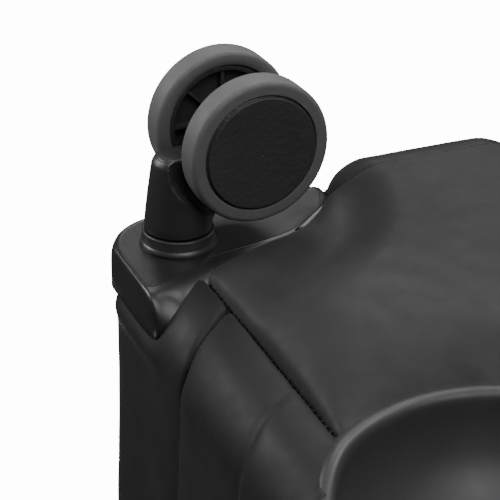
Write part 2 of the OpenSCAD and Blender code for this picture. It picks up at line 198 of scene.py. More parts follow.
def plastic(name, colour, rough, grain=1800.0, bump=0.12, specular=0.5, wear=0.25):
    """Moulded plastic: fine texture, blotchy sheen and worn edges."""
    n = Nodes(name)
    dark = tuple(c * 0.75 for c in colour)
    base = n.mix(n.noise(28, 4), dark, tuple(c * 1.2 for c in colour))
    tint = tuple(min(1, c * 2.2 + 0.02) for c in colour)
    n.link(n.edge_wear(base, tint, wear), n.bsdf.inputs["Base Color"])
    n.link(n.spread(n.noise(60, 5), rough * 0.85, rough * 1.15), n.bsdf.inputs["Roughness"])
    n.bsdf.inputs["Specular IOR Level"].default_value = specular
    n.bump(n.add(n.noise(grain, 2), n.voronoi(grain * 0.45), 0.6), bump, 0.0003)
    return n.mat


def rubber(name, colour):
    n = Nodes(name)
    dusty = n.mix(n.noise(140, 6, 0.65), tuple(c * 0.8 for c in colour), tuple(c * 1.25 for c in colour))
    n.link(n.edge_wear(dusty, (0.16, 0.16, 0.16), 0.35), n.bsdf.inputs["Base Color"])
    n.link(n.spread(n.noise(220, 5), 0.55, 0.75), n.bsdf.inputs["Roughness"])
    n.bsdf.inputs["Specular IOR Level"].default_value = 0.45
    n.bump(n.add(n.noise(1500, 3), n.noise(260, 3), 0.8), 0.22, 0.0003)
    return n.mat


def fabric(name, colour, pitch=0.0008, bump=0.16, rough=0.6, sheen=0.04):
    """Close-woven coated cloth: crossing threads, soft blotches and a faint sheen."""
    n = Nodes(name)
    blotch = n.noise(22, 5, 0.6)
    n.link(n.mix(blotch, tuple(c * 0.8 for c in colour), tuple(c * 1.25 for c in colour)),
           n.bsdf.inputs["Base Color"])
    n.link(n.spread(n.noise(90, 5), rough * 0.9, rough * 1.12), n.bsdf.inputs["Roughness"])
    n.bsdf.inputs["Sheen Weight"].default_value = sheen
    n.bsdf.inputs["Sheen Roughness"].default_value = 0.5
    n.bsdf.inputs["Specular IOR Level"].default_value = 0.28
    threads = n.add(n.waves(0.159 / pitch, "X"), n.waves(0.159 / pitch, "Y"), 1.0)
    threads = n.add(threads, n.waves(0.159 / pitch, "Z"), 1.0)
    n.bump(n.add(threads, n.noise(900, 3), 1.2), bump, 0.0002)
    return n.mat


def metal(name, colour, rough, stretch=(1, 1, 0.02)):
    """Brushed or anodised metal with fine drawn lines."""
    n = Nodes(name)
    lines = n.noise(1400, 2, stretch=stretch)
    n.link(n.mix(lines, tuple(c * 0.88 for c in colour), colour), n.bsdf.inputs["Base Color"])
    n.link(n.spread(lines, rough * 0.8, rough * 1.25), n.bsdf.inputs["Roughness"])
    n.bsdf.inputs["Metallic"].default_value = 1.0
    n.bump(lines, 0.05, 0.0002)
    return n.mat


MATS = {
    "cloth": fabric("cloth", (0.014, 0.014, 0.0150), pitch=0.00036, bump=0.05),
    # Darker copy of the same cloth, with less sheen, for the walls: painted shade, because the walls lie
    # darker than the bottom under the lights.
    "cloth_painted_shade": fabric("cloth_painted_shade", (0.0075, 0.0075, 0.0081), pitch=0.00036, bump=0.05, sheen=0.02),
    "webbing": fabric("webbing", (0.016, 0.016, 0.018), pitch=0.0022, bump=0.5, rough=0.7),
    "guard": plastic("guard", (0.013, 0.013, 0.014), 0.36, grain=1600, bump=0.04, specular=0.5),
    "cup": plastic("cup", (0.032, 0.032, 0.0335), 0.45, grain=1600, bump=0.03, specular=0.35, wear=0.1),
    "caster": plastic("caster", (0.022, 0.022, 0.023), 0.36, grain=2200, bump=0.06),
    "cap": plastic("cap", (0.030, 0.030, 0.031), 0.5, grain=900, bump=0.8, specular=0.35, wear=0),
    "tyre": rubber("tyre", (0.085, 0.085, 0.088)),
    "throw": rubber("throw", (0.07, 0.07, 0.075)),
    "steel": metal("steel", (0.6, 0.61, 0.62), 0.3),
    "alu": metal("alu", (0.55, 0.56, 0.58), 0.35),
    "inner": plastic("inner", (0.03, 0.03, 0.033), 0.45),
    "motor": plastic("motor", (0.04, 0.04, 0.045), 0.4, grain=900),
    "disc": plastic("disc", (0.55, 0.52, 0.07), 0.42),
    "knob": plastic("knob", (0.2, 0.2, 0.21), 0.4),
    "switch": plastic("switch", (0.5, 0.02, 0.015), 0.25),
    "thread": fabric("thread", (0.006, 0.006, 0.0065), pitch=0.0006, bump=0.4),
}


# ---------------------------------------------------------------- mesh helpers
def piece(name, verts, faces, body, mat, node_names=(), slot=None, smooth=True, outward=None):
    """A mesh piece that rides on a body and may stand for CAD nodes."""
    mesh = bpy.data.meshes.new(name)
    mesh.from_pydata([tuple(v) for v in verts], [], faces)
    mesh.validate()
    bm = bmesh.new()
    bm.from_mesh(mesh)
    bmesh.ops.remove_doubles(bm, verts=bm.verts, dist=1e-6)
    bmesh.ops.recalc_face_normals(bm, faces=bm.faces)
    if outward is not None:
        total = sum((f.normal.dot(f.calc_center_median() - Vector(outward)) * f.calc_area()
                     for f in bm.faces), 0.0)
        if total < 0:
            bmesh.ops.reverse_faces(bm, faces=bm.faces)
    bm.to_mesh(mesh)
    bm.free()
    for p in mesh.polygons:
        p.use_smooth = smooth
    obj = bpy.data.objects.new(name, mesh)
    bpy.context.scene.collection.objects.link(obj)
    obj.data.materials.append(MATS[mat])
    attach(obj, body)
    if node_names:
        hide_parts(*node_names)
    return obj


def dress(node, mat):
    """Gives a carried-over CAD node its material."""
    mesh = frame["nodes"][node].data
    mesh.materials.clear()
    mesh.materials.append(MATS[mat])


def grid_faces(rows, cols, keep=None, closed=False):
    """Quads of a grid of points, row by row; closed joins the last column to the first."""
    faces = []
    for i in range(rows - 1):
        for j in range(cols if closed else cols - 1):
            k = (j + 1) % cols
            quad = (i * cols + j, i * cols + k, (i + 1) * cols + k, (i + 1) * cols + j)
            if keep is None or all(keep[q] for q in quad):
                faces.append(quad)
    return faces


def tidy_loose(obj):
    """Drops vertices that no face uses."""
    bm = bmesh.new()
    bm.from_mesh(obj.data)
    bmesh.ops.delete(bm, geom=[v for v in bm.verts if not v.link_faces], context="VERTS")
    bm.to_mesh(obj.data)
    bm.free()


def thicken(obj, thickness):
    """Gives a skin its thickness, inwards."""
    mod = obj.modifiers.new("thickness", "SOLIDIFY")
    mod.thickness, mod.offset = thickness, -1
    mod.use_even_offset = False
    return obj


def soften(obj, width):
    """Rounds the sharp edges of a piece."""
    mod = obj.modifiers.new("bevel", "BEVEL")
    mod.width, mod.segments, mod.limit_method = width, 3, "ANGLE"
    mod.angle_limit = math.radians(35)
    mod.harden_normals = False


def lathe(profile, turn, place):
    """Verts and faces of a closed (radius, height) profile turned about local Z, then placed."""
    verts = [place(Vector((r * math.cos(t), r * math.sin(t), h)))
             for r, h in profile for t in np.linspace(0, 2 * math.pi, turn, endpoint=False)]
    faces = grid_faces(len(profile), turn, closed=True)
    last = (len(profile) - 1) * turn
    faces += [(last + j, last + (j + 1) % turn, (j + 1) % turn, j) for j in range(turn)]
    return verts, faces


def arc(cx, cy, r, start, stop, count=6):
    """Points of a round stretch of a profile, angles in degrees."""
    return [(cx + r * math.cos(math.radians(t)), cy + r * math.sin(math.radians(t)))
            for t in np.linspace(start, stop, count)]


def in_metres(profile):
    """A profile given in mm."""
    return [(r * MM, h * MM) for r, h in profile]


def joined(parts):
    """Several (verts, faces) lists as one."""
    verts, faces = [], []
    for v, f in parts:
        faces += [tuple(i + len(verts) for i in face) for face in f]
        verts += v
    return verts, faces


def close_ends(verts, faces, count, first, last):
    """Closes a stack of rings, count points in each, with a fan at either end."""
    top = len(verts) - count
    verts += [first, last]
    for j in range(count):
        k = (j + 1) % count
        faces += [(len(verts) - 2, k, j), (len(verts) - 1, top + j, top + k)]


def smoothstep(x):
    """Eases from 0 to 1 as x does."""
    x = np.clip(x, 0, 1)
    return x * x * (3 - 2 * x)


def fold_noise(points, scale, seed):
    """Smooth noise from -1 to 1 at each point, for creases."""
    spots = [Vector((p[0] * scale + seed, p[1] * scale, p[2] * scale)) for p in points]
    return np.array([noise.noise(spot) for spot in spots])


# ---------------------------------------------------------------- outlines about the caster stem
# (a, b): a runs from the stem towards the middle of the front, b from it towards the back, mm.
GUARD_PLAN = [(-42, -42), (42.8, -42), (42.8, -24.5), (41.8, -16.9), (37.4, -9.7), (27.4, 1), (22.5, 6.5),
              (19, 14), (16, 27), (14, 38), (10, 48), (4, 58), (-4, 67.5), (-13, 73.5), (-26, 76.5),
              (-42, 77)]


def corner_point(a, b, u, sx, sy):
    """Stem frame in mm, u below the plateau, to the model."""
    return Vector((sx * (STEM_X - a * MM), sy * (STEM_Y - b * MM), PLATEAU - u * MM))


def outside_polygon(px, py, poly):
    """Signed distance from points to a closed polygon, positive outside."""
    best = np.full(px.shape, 1e9)
    inside = np.zeros(px.shape, bool)
    for (x0, y0), (x1, y1) in zip(poly, poly[1:] + poly[:1]):
        dx, dy = x1 - x0, y1 - y0
        t = np.clip(((px - x0) * dx + (py - y0) * dy) / (dx * dx + dy * dy), 0, 1)
        best = np.minimum(best, np.hypot(px - x0 - t * dx, py - y0 - t * dy))
        crosses = ((y0 > py) != (y1 > py)) & (px < (x1 - x0) * (py - y0) / (y1 - y0 + 1e-12) + x0)
        inside ^= crosses
    return np.where(inside, -best, best)


def guard_distance(x, y):
    """Distance outside the nearest guard's plan, for plan points in metres."""
    a, b = (STEM_X - np.abs(x)) / MM, (STEM_Y - np.abs(y)) / MM
    return outside_polygon(a, b, GUARD_PLAN) * MM


def puff(x, y):
    """How far the padded bottom swells below the fabric's edge at a plan point."""
    ends = np.maximum(AXIS_Y - np.abs(y), 0)
    guard = guard_distance(x, y)
    cup = np.maximum(np.hypot(x, y - CUP_Y) - CUP_R, 0)
    stem = np.hypot(np.abs(x) - STEM_X, np.abs(y) - STEM_Y)
    full = PUFF + PUFF_MORE * smoothstep((stem - REACH) / 0.025)
    swell = 0.16 * (1 - np.exp(-ends / 0.0016)) + 0.84 * (1 - np.exp(-ends / 0.020))
    rise = 0.0065 - 0.0045 * smoothstep((STEM_Y - np.abs(y) - 0.048) / 0.02)
    swell *= 1 - np.exp(-np.maximum(guard, 0) / rise)
    swell *= 1 - 0.86 * np.exp(-cup / 0.016)
    sink = np.minimum(guard, 0) * 0.5
    return full * swell + np.maximum(sink, -0.004)


# ---------------------------------------------------------------- soft bottom panel
def spread_steps(half, fine, count):
    """Grid positions from -half to half: the fine steps at both ends, then even ones."""
    ends = np.concatenate([[0], np.cumsum(fine)]) * MM
    middle = np.linspace(-half + ends[-1], half - ends[-1], count)
    return np.concatenate([-half + ends[:-1], middle, half - ends[:-1][::-1]])


def bottom_panel():
    xs = spread_steps(AXIS_X, [1.0, 1.0, 1.2, 1.4], 318)
    ys = spread_steps(AXIS_Y, [0.4, 0.5, 0.6, 0.7, 0.8, 0.9, 1.1], 160)
    gx, gy = np.meshgrid(xs, ys)
    x, y = gx.ravel(), gy.ravel()
    drop = puff(x, y)
    flat = np.stack([x, y, np.zeros_like(x)], 1)
    ends = AXIS_Y - np.abs(y)
    near = np.exp(-np.minimum(ends, np.maximum(guard_distance(x, y), 0)) / 0.014)
    drop += 0.0006 * near * fold_noise(flat, 60, 3.0) + 0.0006 * fold_noise(flat, 14, 9.0)
    drop += 0.0004 * np.exp(-ends / 0.0014) * np.sin(x * 2 * math.pi / PUCKER)
    drop -= 0.0022 * np.exp(-(ends / 0.0013) ** 2)
    cup = np.hypot(x, y - CUP_Y)
    keep = (cup > CUP_R - CUP_LAP) & (guard_distance(x, y) > -0.007)
    verts = np.stack([x, y, FAB_Z - drop], 1)
    obj = piece("bottom_pad", verts, grid_faces(len(ys), len(xs), keep), "case", "cloth",
                ("bottom_panel",), "fabric", outward=(0, 0, FAB_Z + 0.2))
    tidy_loose(obj)
    thicken(obj, CLOTH)


# ---------------------------------------------------------------- soft walls
def foot_rows():
    """(angle of the round foot, height up the wall) from the bottom seam to the rim."""
    rows = [(math.radians(t), 0.0) for t in np.linspace(90, 0, 22)]
    rows += [(0.0, h) for h in np.arange(0.002, 0.11, 0.0024)]
    rows += [(0.0, h) for h in np.linspace(0.112, RIM_Z - ARC_Z, 92)]
    return rows


def gusset_at(climb):
    """How far the gusset seam lies from the stem towards the middle, at a climb up from the bottom seam."""
    points = np.array([(-5, 49), (0, 53), (11, 60.8), (21, 65.5), (28, 68.5), (39, 69.4), (55, 68.1),
                       (81, 65.2), (120, 63), (220, 60), (400, 58), (640, 58)]) * MM
    return np.interp(climb, points[:, 0], points[:, 1]) + 0.0009


def crease_at(climb):
    """The shallow second fold, further towards the middle."""
    points = np.array([(0, 118), (4, 121.7), (13, 127.6), (22, 132.6), (32, 135.5), (46, 136), (90, 134),
                       (200, 130), (640, 126)]) * MM
    return np.interp(climb, points[:, 0], points[:, 1])


def end_swell(x, climb):
    """Outward swell of the front and back walls: corner strips, then a fuller middle."""
    a = STEM_X - np.abs(x)
    seam = a - gusset_at(climb)
    crease = a - crease_at(climb)
    strip = 0.0024 * (1 - np.exp(-np.abs(np.minimum(seam, 0)) / 0.007)) * smoothstep((a + 0.02) / 0.03)
    middle = 0.0046 * (1 - np.exp(-np.maximum(seam, 0) / 0.0045))
    out = np.where(seam < 0, strip, middle)
    groove = 0.0032 * np.exp(-((seam + 0.0003) / 0.0015) ** 2)
    out += 0.0011 * smoothstep((crease + 0.005) / 0.008) - 0.0007 * np.exp(-((crease + 0.003) / 0.003) ** 2)
    rise = 0.45 * (1 - np.exp(-climb / 0.0016)) + 0.55 * smoothstep(climb / 0.020)
    top = smoothstep((RIM_Z - ARC_Z + 0.04 - climb) / 0.02)
    corner = smoothstep((0.050 - a) / 0.05)
    lean = 0.003 * corner * smoothstep((climb - 0.045) / 0.13)
    return (out * rise - groove * (0.7 + 0.3 * rise) + lean + below_skirt(climb, a)) * top


def below_skirt(climb, a):
    """The fabric swells a little just past the guard's lower edge."""
    ends = smoothstep((0.050 - a) / 0.012) * smoothstep((a + 0.014) / 0.02)
    return 0.0019 * np.exp(-((climb - 0.0365) / 0.0045) ** 2) * ends


def wall(name, node, columns, swell, holes=None):
    """A soft wall; columns(climb) gives each column's axis point and outward direction at that climb."""
    rows = foot_rows()
    verts, climb, normal = [], [], []
    for angle, height in rows:
        up = EDGE_R * (math.pi / 2 - angle) + height
        base, out = columns(up)
        z = ARC_Z - EDGE_R * math.sin(angle) + height
        verts.append(np.column_stack([base + out * EDGE_R * math.cos(angle), np.full(len(base), z)]))
        normal.append(np.column_stack([out * math.cos(angle), np.full(len(base), -math.sin(angle))]))
        climb.append(np.full(len(base), up))
    width = len(climb[0])
    verts, climb, normal = np.concatenate(verts), np.concatenate(climb), np.concatenate(normal)
    grow = swell(verts, climb)
    along = verts[:, 0] + verts[:, 1]
    grow += 0.0005 * np.exp(-climb / 0.012) * fold_noise(verts, 75, 1.0)
    grow += 0.0005 * fold_noise(verts, 11, 5.0) + 0.0002 * fold_noise(verts, 60, 2.0)
    grow += 0.0005 * np.exp(-climb / 0.0018) * np.sin(along * 2 * math.pi / PUCKER)
    grow -= 0.0024 * np.exp(-(climb / 0.0015) ** 2)
    moved = verts + normal * grow[:, None]
    cup = np.hypot(moved[:, 0], moved[:, 1] - CUP_Y)
    keep = (cup > CUP_R - CUP_LAP) | (verts[:, 2] > ARC_Z + 0.004)
    if holes is not None:
        keep &= ~holes(verts)
    # The walls take the darker copy of the cloth: painted shade.
    obj = piece(name, moved, grid_faces(len(rows), width, keep), "case", "cloth_painted_shade", (node,), "fabric",
                outward=(0, 0, 0.35))
    tidy_loose(obj)
    thicken(obj, CLOTH)


SEAM_STEPS = [10, 7, 4.8, 3.4, 2.4, 1.7, 1.2, 0.8, 0.4]   # columns beside the seam, mm from it


def end_columns(sign):
    """Columns of the front (sign -1) or back wall; they follow the seam and the crease."""
    corner = np.linspace(0, math.pi / 2, 14, endpoint=False)

    def columns(climb):
        seam, crease = float(gusset_at(climb)), float(crease_at(climb))
        near = np.array([-s for s in SEAM_STEPS] + [0] + SEAM_STEPS[::-1]) * MM
        start, end = STEM_X - AXIS_X, STEM_X
        a = np.concatenate([np.linspace(start, seam - 0.010, 12, endpoint=False), seam + near,
                            np.linspace(seam + 0.010, crease - 0.008, 10)[1:-1],
                            np.linspace(crease - 0.008, crease + 0.006, 11),
                            np.linspace(crease + 0.006, end, 36)[1:]])
        half = STEM_X - a
        xs = np.concatenate([-half, half[:-1][::-1]])
        base = [(-AXIS_X, sign * AXIS_Y)] * len(corner) + [(x, sign * AXIS_Y) for x in xs]
        base += [(AXIS_X, sign * AXIS_Y)] * len(corner)
        out = [(-math.cos(t), sign * math.sin(t)) for t in corner] + [(0, sign)] * len(xs)
        out += [(math.cos(t), sign * math.sin(t)) for t in corner[::-1]]
        return np.array(base), np.array(out)
    return columns


def end_wall_swell(verts, climb):
    """The front lies flat round the launch port, under its flange."""
    swell = end_swell(verts[:, 0], climb)
    port = np.hypot(verts[:, 0], verts[:, 2] - PORT_Z)
    return np.where(verts[:, 1] < 0, swell * smoothstep((port - PORT_R + 0.002) / 0.02), swell)


def side_columns(sign):
    """Columns of the left (sign -1) or right wall, closer together at the middle."""
    ys = np.concatenate([np.linspace(-AXIS_Y, -0.05, 60), np.linspace(-0.05, 0.05, 50)[1:-1],
                         np.linspace(0.05, AXIS_Y, 60)])
    base = np.array([(sign * AXIS_X, y) for y in ys])
    out = np.array([(sign, 0.0)] * len(ys))
    return lambda climb: (base, out)


def side_wall_swell(verts, climb):
    """The padded bottom carries on round the foot, then a slight belly up the wall."""
    y = verts[:, 1]
    belly = 0.003 * smoothstep(climb / 0.10) * smoothstep((AXIS_Y - np.abs(y)) / 0.03)
    arc_end = EDGE_R * math.pi / 2
    weight = 1 - 0.55 * smoothstep(climb / arc_end) - 0.45 * smoothstep((climb - arc_end) / 0.09)
    low = puff(np.abs(verts[:, 0]), y) * weight
    low = np.where(climb > 0.03, np.maximum(low, 0), low)
    low *= 1 - smoothstep((climb - 0.008) / 0.05) * (1 - smoothstep((0.05 - np.abs(y)) / 0.045))
    seam = below_skirt(climb, STEM_Y - np.abs(y) - 0.045)
    seam += 0.0045 * smoothstep((climb - 0.03) / 0.11) * smoothstep((np.abs(y) - AXIS_Y + 0.05) / 0.05)
    panel = (np.abs(y) < PANEL_HI.y + 0.03) & (np.abs(verts[:, 2] - 0.45) < 0.09) & (verts[:, 0] > 0)
    return np.where(panel, 0.0008, belly) + low + seam


def port_hole(verts):
    """Cloth cut away for the launch port, under its flange."""
    return np.hypot(verts[:, 0], verts[:, 2] - PORT_Z) < PORT_R - 0.006


def panel_hole(verts):
    """Cloth cut away for the control panel, under its frame."""
    inside_y = np.abs(verts[:, 1]) < PANEL_HI.y - 0.004
    return inside_y & (verts[:, 2] > PANEL_LO.z + 0.004) & (verts[:, 2] < PANEL_HI.z - 0.004)


def walls():
    wall("front_cloth", "front_panel", end_columns(-1), end_wall_swell, port_hole)
    wall("back_cloth", "back_panel", end_columns(1), end_wall_swell)
    wall("left_cloth", "left_panel", side_columns(-1), side_wall_swell)
    wall("right_cloth", "right_panel", side_columns(1), side_wall_swell, panel_hole)


# ---------------------------------------------------------------- moulded corner guards
# Edge of the flat plateau, the guard's outer edge beside it (a, b, u in mm) and how round the
# skin turns between them: 1 is a rounded shoulder over a skirt, 0 a straight slope.
GUARD_PAIRS = [
    ((-24, 72.5, 0), (-27.4, 75.5, -14), 0.9), ((-24.6, 60, 0), (-27.4, 60, -18.5), 1),
    ((-24.8, 30, 0), (-27.4, 30, -18.5), 1), ((-25, 1, 0), (-27.4, 1, -18.5), 1),
    ((-23.2, -8.5, 0), (-26.4, -8.9, -18.5), 1), ((-17.6, -17.6, 0), (-19.4, -19.4, -18.5), 1),
    ((-8.5, -23.2, 0), (-8.9, -26.4, -18.5), 1), ((1, -25, 0), (1, -27.2, -18.5), 1),
    ((14, -25.3, 0), (14, -27.2, -18.5), 1), ((26.6, -25.6, 0), (28, -27.2, -18.4), 1),
    ((30, -24.8, 0), (38, -26.8, -17.8), 0.8), ((31.4, -23.4, 0), (42.4, -25.6, -16.4), 0.5),
    ((31.4, -20.8, 0), (43.8, -21.5, -13), 0.2), ((30.2, -17.6, 0), (43.6, -16.2, -9.6), 0.05),
    ((28.2, -13.8, 0), (42.2, -12.2, -7.8), 0), ((25.9, -9.5, 0), (39.9, -8.4, -6.2), 0),
    ((23.2, -4.2, 0), (35.2, -2.8, -5), 0), ((20.1, 1.3, 0), (31.2, 2.2, -4.4), 0),
    ((18.1, 5.2, 0), (27.6, 7.6, -4), 0), ((16, 12.5, 0), (23.6, 15, -3.6), 0),
    ((14, 25, 0), (20, 27.6, -3.2), 0), ((11.5, 37, 0), (17.6, 39.6, -3), 0),
    ((8, 48, 0), (13.4, 50.6, -2), 0), ((2, 56.5, 0), (6, 58.5, 0.8), 0),
    ((-5, 64.5, 0), (-2, 68, 2.2), 0), ((-13.5, 70, 0), (-12.5, 75, 2.4), 0.2),
]
# The raised lip that runs out along the guard's far end.
GUARD_LIP = [
    (-22, 75.2, -6.5), (-19.5, 75.6, -2.6), (-16.5, 75.8, 0.6), (-12, 75, 2.7), (-5, 70.6, 3.1),
    (0.2, 64.6, 2.3), (4.6, 57.6, 0.9), (8.5, 50, -1.2),
]
STEM_HOLE = 6                          # radius of the hole round the stem, mm


def smooth_loop(rows, per):
    """Closed Catmull-Rom curve through rows of numbers, per points for each row."""
    rows, out = np.array(rows, float), []
    for i in range(len(rows)):
        p0, p1, p2, p3 = (rows[(i + k) % len(rows)] for k in (-1, 0, 1, 2))
        cap = np.linalg.norm((p2 - p1)[:3])
        m1 = (p2 - p0) * 0.5 * min(1, 1.2 * cap / (np.linalg.norm((p2 - p0)[:3]) * 0.5 + 1e-9))
        m2 = (p3 - p1) * 0.5 * min(1, 1.2 * cap / (np.linalg.norm((p3 - p1)[:3]) * 0.5 + 1e-9))
        for t in np.linspace(0, 1, per, endpoint=False):
            out.append(p1 * (2 * t ** 3 - 3 * t ** 2 + 1) + m1 * (t ** 3 - 2 * t ** 2 + t)
                       + p2 * (3 * t ** 2 - 2 * t ** 3) + m2 * (t ** 3 - t ** 2))
    return np.array(out)


def guards():
    """Each guard is a skin from the stem's hole over the plateau and down to its outer edge."""
    rows = smooth_loop([(*a, *b, w) for a, b, w in GUARD_PAIRS], 9)
    lip = smooth_loop(GUARD_LIP, 10)[:10 * (len(GUARD_LIP) - 1) + 1]
    inner, outer, turn = rows[:, 0:3], rows[:, 3:6], np.clip(rows[:, 6:7], 0, 1)
    angle = np.arctan2(inner[:, 1], inner[:, 0])
    hole = np.column_stack([STEM_HOLE * np.cos(angle), STEM_HOLE * np.sin(angle), np.zeros(len(inner))])
    rings = [hole + (inner - hole) * t for t in (0, 0.25, 0.5, 0.75, 0.93, 0.965)]
    bead = hole + (inner - hole) * 0.988
    bead[:, 2] += 0.12
    rings += [bead, inner + [0, 0, 0.10]]
    for s in (0.02, 0.05, 0.09, 0.14, 0.2, 0.28, 0.37, 0.47, 0.58, 0.7, 0.82, 0.92, 1.0):
        across = turn * (1 - (1 - s) ** 2.6) + (1 - turn) * s
        down = turn * (1 - math.sqrt(1 - s * s)) + (1 - turn) * (0.12 * s + 0.88 * s ** 1.9)
        plan = inner[:, :2] + (outer - inner)[:, :2] * across
        rings.append(np.column_stack([plan, inner[:, 2] + (outer - inner)[:, 2] * down[:, 0]]))
    for key, (sx, sy) in CORNERS.items():
        verts = [corner_point(*p, sx, sy) for ring in rings for p in ring]
        obj = piece("corner_guard_" + key, verts, grid_faces(len(rings), len(rows), closed=True), "case",
                    "guard", ("corner_guards",), "guard", outward=(0, 0, 0.2))
        thicken(obj, 0.0022)
        piece("guard_lip_" + key, *tube([corner_point(*p, sx, sy) for p in lip], 1.9 * MM), "case", "guard",
              (), "guard")


def tube(path, radius, sides=12):
    """Round tube along an open path, closed at both ends."""
    path = [Vector(p) for p in path]
    verts = []
    for i, p in enumerate(path):
        ahead = (path[min(i + 1, len(path) - 1)] - path[max(i - 1, 0)]).normalized()
        side = ahead.cross(Vector((0, 0, 1)))
        side = side.normalized() if side.length > 1e-4 else Vector((1, 0, 0))
        up = side.cross(ahead)
        size = radius * (0.35 if i in (0, len(path) - 1) else 1)
        verts += [p + size * (math.cos(t) * side + math.sin(t) * up)
                  for t in np.linspace(0, 2 * math.pi, sides, endpoint=False)]
    faces = grid_faces(len(path), sides, closed=True)
    last = (len(path) - 1) * sides
    faces += [tuple(range(sides)), tuple(last + j for j in range(sides))]
    return verts, faces


def collars():
    """Stepped collar under each caster, turned about its stem."""
    profile = ([(5.6, 0), (15.9, 0)] + arc(15.2, 0.9, 0.7, -60, 30, 4)
               + [(15.5, 2.2), (15.1, 2.5), (14.9, 2.9)] + arc(14.4, 6.5, 0.5, 0, 90, 4)
               + [(13.2, 7.0), (13.0, 6.2), (5.6, 6.2)])
    profile = in_metres(profile)
    for key, (sx, sy) in CORNERS.items():
        spot = Vector((sx * STEM_X, sy * STEM_Y, PLATEAU))
        verts, faces = lathe(profile, 96, lambda p: spot + Vector((p.x, p.y, -p.z)))
        piece("collar_" + key, verts, faces, "case", "caster", ("caster_collars",), "guard")


# ---------------------------------------------------------------- grab cup
BULGE = 4.2 * MM                       # swell of the front wall where the cup's rim crosses it


def rim_point(t, radius):
    """Point on the fabric under the rim at angle t, and the surface's outward normal there."""
    x, y = radius * math.cos(t), CUP_Y + radius * math.sin(t)
    over = -(y + AXIS_Y)
    level = float(puff(np.array([x]), np.array([max(y, -AXIS_Y)]))[0])
    level = max(level, 0.0022)
    if over <= 0:
        return Vector((x, y, FAB_Z - level)), Vector((0, 0, -1))
    wide, deep = EDGE_R + BULGE, ARC_Z - FAB_Z + level
    share = min(over / wide, 0.985)
    drop = math.sqrt(1 - share * share)
    point = Vector((x, -AXIS_Y - share * wide, ARC_Z - deep * drop))
    return point, Vector((0, -share / wide, -drop / deep)).normalized()


def grab_cup():
    """Round rim swept over the cloth's edge, running into a bowl."""
    turn = 220
    ring_r = CUP_R - 0.0034
    spots = [rim_point(t, ring_r) for t in np.linspace(0, 2 * math.pi, turn, endpoint=False)]
    section = [(6.2, -2.6), (5.0, -1.5), (4.1, -0.5), (3.4, 0.5), (2.5, 1.4), (1.4, 2.0), (0.2, 2.25),
               (-1.0, 2.15), (-2.1, 1.7), (-3.0, 0.9), (-3.5, -0.2), (-3.8, -1.6)]
    rings = []
    for reach, lift in section:
        ring = []
        for i, (p, n) in enumerate(spots):
            ahead = (spots[(i + 1) % turn][0] - spots[i - 1][0]).normalized()
            away = n.cross(ahead)
            ring.append(p + away * reach * MM + n * lift * MM)
        rings.append(ring)
    edge = rings[-1]
    floor = FAB_Z + CUP_DEPTH
    for s in np.linspace(0.05, 1, 26):
        ring = []
        for p in edge:
            shrink = max(math.cos(s * math.pi / 2), 0) ** 0.66
            flat = Vector((p.x, p.y - CUP_Y, 0)) * shrink
            ring.append(Vector((flat.x, CUP_Y + flat.y, p.z + (floor - p.z) * math.sin(s * math.pi / 2))))
        rings.append(ring)
    verts = [v for ring in rings for v in ring]
    obj = piece("grab_cup_bowl", verts, grid_faces(len(rings), turn, closed=True), "case", "cup",
                ("grab_cup",), "guard", outward=(0, CUP_Y, 0.4))
    thicken(obj, 0.0012)


# ---------------------------------------------------------------- casters
def caster_place(sx, sy):
    """Caster frame (X along the axle, Y trailing, Z down from the plateau) to the model."""
    c, s = math.cos(-SWIVEL), math.sin(-SWIVEL)

    def place(p):
        x, y = c * p.x - s * p.y, s * p.x + c * p.y
        return Vector((sx * (STEM_X + x), sy * (STEM_Y - y), PLATEAU - p.z))
    return place


def wheel_place(sx, sy, side):
    """Wheel frame (Z out along the axle) to the model."""
    base = caster_place(sx, sy)
    return lambda p: base(Vector((side * p.z, TRAIL + p.x, AXLE_H + p.y)))


CAP_FACE = 23.8                        # the cap's flat face from the caster's middle, mm


def tyre_profile():
    r = WHEEL_R / MM
    return in_metres([(24.15, 11.6), (24.9, 10.8), (26.9, 10.8)] + arc(r - 2.2, 13.0, 2.2, -75, -4, 7)
                     + [(r, 14.5), (r, 19.6)] + arc(r - 2.2, 20.8, 2.2, 4, 86, 8)
                     + [(27.4, 23.0), (26.2, 23.03), (25.2, 23.05)] + arc(24.75, 22.6, 0.45, 80, 180, 4)
                     + [(24.15, 21.5)])


def hub_profile():
    face = [(r, CAP_FACE) for r in (22.2, 21, 18, 15, 12, 9, 6, 3, 1, 0.05)]
    return in_metres([(3.2, 7.3), (6.6, 7.3)] + arc(6.6, 7.8, 0.5, -80, 0, 3)
                     + [(7.3, 15.2), (8.0, 16.0), (20.6, 16.3), (21.2, 15.4), (21.4, 12.8), (21.9, 12.4),
                        (23.6, 12.4), (24.1, 12.9), (24.1, 22.0), (23.85, 22.5), (23.5, 22.5), (23.45, 23.1)]
                     + arc(22.95, 23.25, 0.5, -10, 90, 5) + [(22.6, 23.77)] + face
                     + [(0.05, 21.0), (3.2, 21.0)])


def spokes(place):
    """Eight tapered ribs on the hub's inner side."""
    parts = []
    for k in range(8):
        turn = Matrix.Rotation(k * math.pi / 4, 3, "Z")
        ring = []
        for r, half in ((6.5, 1.5), (12, 0.9), (21.6, 0.8)):
            for w, h in ((-half, 16.4), (-half * 0.8, 13.2), (half * 0.8, 13.2), (half, 16.4)):
                ring.append(place(turn @ Vector((r * MM, w * MM, h * MM))))
        faces = [(i * 4 + j, i * 4 + (j + 1) % 4, i * 4 + 4 + (j + 1) % 4, i * 4 + 4 + j)
                 for i in range(2) for j in range(4)] + [(0, 1, 2, 3), (8, 9, 10, 11)]
        parts.append((ring, faces))
    return parts


WEB = 13                               # web between the wheels, mm
FORK_TOP = 39.6                        # the column's end below the plateau, mm


